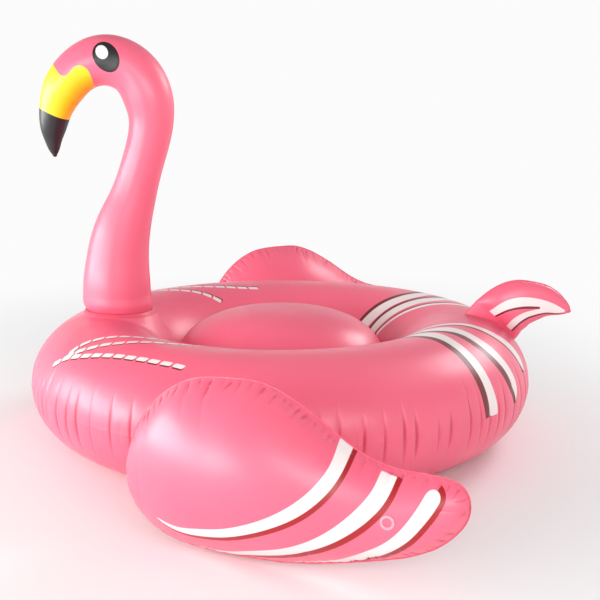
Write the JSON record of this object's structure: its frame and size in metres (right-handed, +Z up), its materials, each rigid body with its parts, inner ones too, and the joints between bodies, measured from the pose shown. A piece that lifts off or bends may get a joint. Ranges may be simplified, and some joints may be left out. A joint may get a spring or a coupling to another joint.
{
  "type": "ride-on inflatable pool float",
  "caption": "Bird-shaped ride-on pool float: ring tube with cushion seat, hooked neck and head, hinged side wings, tail fin and recessed inflation valves.",
  "frame": {"origin": "centre of the bounding box on the floor plane the ring rests on", "axes": "-Y the way the bird faces, +X towards its left wing, +Z up"},
  "size_m": [2.3521, 1.6861, 1.2347],
  "materials": {
    "pink_film": "satin printed PVC film",
    "weld_band": "pressed PVC weld",
    "clear_valve": "clear soft PVC"
  },
  "bodies": {
    "ring": {"ring_upper_skin": "pink_film", "ring_lower_skin": "pink_film", "ring_outer_weld": "weld_band", "seat_upper_skin": "pink_film", "seat_lower_skin": "pink_film", "seat_rim_weld": "weld_band", "neck_foot_weld": "weld_band", "neck_collar": "pink_film", "tail_root_weld": "weld_band", "ring_left_web": "weld_band", "ring_right_web": "weld_band", "ring_valve_base": "clear_valve", "seat_valve_base": "clear_valve"},
    "neck": {"neck_left_skin": "pink_film", "neck_right_skin": "pink_film", "neck_seam": "weld_band", "neck_valve_base": "clear_valve"},
    "tail": {"tail_left_skin": "pink_film", "tail_right_skin": "pink_film", "tail_seam": "weld_band", "tail_valve_base": "clear_valve"},
    "wing_left": {"wing_left_outer_skin": "pink_film", "wing_left_inner_skin": "pink_film", "wing_left_seam": "weld_band", "wing_left_hinge_tab": "weld_band", "wing_left_valve_base": "clear_valve"},
    "wing_right": {"wing_right_outer_skin": "pink_film", "wing_right_inner_skin": "pink_film", "wing_right_seam": "weld_band", "wing_right_hinge_tab": "weld_band", "wing_right_valve_base": "clear_valve"},
    "ring_valve_stem": {"ring_valve_stem": "clear_valve", "ring_valve_tether": "clear_valve"},
    "ring_valve_plug": {"ring_valve_plug": "clear_valve"},
    "ring_valve_flap": {"ring_valve_flap": "clear_valve"},
    "seat_valve_stem": {"seat_valve_stem": "clear_valve", "seat_valve_tether": "clear_valve"},
    "seat_valve_plug": {"seat_valve_plug": "clear_valve"},
    "seat_valve_flap": {"seat_valve_flap": "clear_valve"},
    "neck_valve_stem": {"neck_valve_stem": "clear_valve", "neck_valve_tether": "clear_valve"},
    "neck_valve_plug": {"neck_valve_plug": "clear_valve"},
    "neck_valve_flap": {"neck_valve_flap": "clear_valve"},
    "tail_valve_stem": {"tail_valve_stem": "clear_valve", "tail_valve_tether": "clear_valve"},
    "tail_valve_plug": {"tail_valve_plug": "clear_valve"},
    "tail_valve_flap": {"tail_valve_flap": "clear_valve"},
    "wing_left_valve_stem": {"wing_left_valve_stem": "clear_valve", "wing_left_valve_tether": "clear_valve"},
    "wing_left_valve_plug": {"wing_left_valve_plug": "clear_valve"},
    "wing_left_valve_flap": {"wing_left_valve_flap": "clear_valve"},
    "wing_right_valve_stem": {"wing_right_valve_stem": "clear_valve", "wing_right_valve_tether": "clear_valve"},
    "wing_right_valve_plug": {"wing_right_valve_plug": "clear_valve"},
    "wing_right_valve_flap": {"wing_right_valve_flap": "clear_valve"}
  },
  "joints": [
    {"name": "wing_left_flap", "type": "hinge", "parent": "ring", "child": "wing_left", "pos_m": [0.75525, -0.1865, 0.1905], "axis": [-0.1586, -0.9873, 0], "range_deg": [0, 30]},
    {"name": "wing_right_flap", "type": "hinge", "parent": "ring", "child": "wing_right", "pos_m": [-0.75525, -0.1865, 0.1905], "axis": [-0.1586, 0.9873, 0], "range_deg": [0, 30]},
    {"name": "neck_sway", "type": "hinge", "parent": "ring", "child": "neck", "pos_m": [0, -0.58, 0.431], "axis": [1, 0, 0], "range_deg": [-5, 5], "stiffness_Nm_per_rad": 90},
    {"name": "tail_sway", "type": "hinge", "parent": "ring", "child": "tail", "pos_m": [0, 0.6096, 0.35992], "axis": [0, 0.8101, -0.5863], "range_deg": [-15, 15], "stiffness_Nm_per_rad": 4},
    {"name": "ring_valve_pop", "type": "slide", "parent": "ring", "child": "ring_valve_stem", "axis": [-0.7211, 0.2745, 0.6362], "range_m": [0, 0.0192]},
    {"name": "ring_valve_plug_pull", "type": "slide", "parent": "ring_valve_stem", "child": "ring_valve_plug", "axis": [-0.7211, 0.2745, 0.6362], "range_m": [0, 0.0192]},
    {"name": "ring_valve_flap_swing", "type": "hinge", "parent": "ring_valve_stem", "child": "ring_valve_flap", "pos_m": [-0.6024, 0.20205, 0.26719], "axis": [0.121, 0.954, -0.2745], "range_deg": [0, 60]},
    {"name": "seat_valve_pop", "type": "slide", "parent": "ring", "child": "seat_valve_stem", "axis": [-0.578, 0.0826, 0.8118], "range_m": [0, 0.012]},
    {"name": "seat_valve_plug_pull", "type": "slide", "parent": "seat_valve_stem", "child": "seat_valve_plug", "axis": [-0.578, 0.0826, 0.8118], "range_m": [0, 0.012]},
    {"name": "seat_valve_flap_swing", "type": "hinge", "parent": "seat_valve_stem", "child": "seat_valve_flap", "pos_m": [-0.1973, -0.0239, 0.32241], "axis": [0.0264, 0.9962, -0.0826], "range_deg": [0, 60]},
    {"name": "neck_valve_pop", "type": "slide", "parent": "neck", "child": "neck_valve_stem", "axis": [-0.9937, 0.039, 0.1046], "range_m": [0, 0.012]},
    {"name": "neck_valve_plug_pull", "type": "slide", "parent": "neck_valve_stem", "child": "neck_valve_plug", "axis": [-0.9937, 0.039, 0.1046], "range_m": [0, 0.012]},
    {"name": "neck_valve_flap_swing", "type": "hinge", "parent": "neck_valve_stem", "child": "neck_valve_flap", "pos_m": [-0.07217, -0.57321, 0.52949], "axis": [0.0351, 0.9986, -0.039], "range_deg": [0, 60]},
    {"name": "tail_valve_pop", "type": "slide", "parent": "tail", "child": "tail_valve_stem", "axis": [-0.9938, 0.0962, 0.0561], "range_m": [0, 0.012]},
    {"name": "tail_valve_plug_pull", "type": "slide", "parent": "tail_valve_stem", "child": "tail_valve_plug", "axis": [-0.9938, 0.0962, 0.0561], "range_m": [0, 0.012]},
    {"name": "tail_valve_flap_swing", "type": "hinge", "parent": "tail_valve_stem", "child": "tail_valve_flap", "pos_m": [-0.00841, 0.68166, 0.41053], "axis": [0.0905, 0.9912, -0.0962], "range_deg": [0, 60]},
    {"name": "wing_left_valve_pop", "type": "slide", "parent": "wing_left", "child": "wing_left_valve_stem", "axis": [0.9689, -0.2355, 0.0765], "range_m": [0, 0.012]},
    {"name": "wing_left_valve_plug_pull", "type": "slide", "parent": "wing_left_valve_stem", "child": "wing_left_valve_plug", "axis": [0.9689, -0.2355, 0.0765], "range_m": [0, 0.012]},
    {"name": "wing_left_valve_flap_swing", "type": "hinge", "parent": "wing_left_valve_stem", "child": "wing_left_valve_flap", "pos_m": [1.12764, 0.22645, 0.19317], "axis": [0.2119, 0.9485, 0.2355], "range_deg": [0, 60]},
    {"name": "wing_right_valve_pop", "type": "slide", "parent": "wing_right", "child": "wing_right_valve_stem", "axis": [-0.9724, -0.221, 0.0748], "range_m": [0, 0.012]},
    {"name": "wing_right_valve_plug_pull", "type": "slide", "parent": "wing_right_valve_stem", "child": "wing_right_valve_plug", "axis": [-0.9724, -0.221, 0.0748], "range_m": [0, 0.012]},
    {"name": "wing_right_valve_flap_swing", "type": "hinge", "parent": "wing_right_valve_stem", "child": "wing_right_valve_flap", "pos_m": [-1.12733, 0.22612, 0.16859], "axis": [0.2, -0.9545, -0.221], "range_deg": [0, 60]}
  ]
}
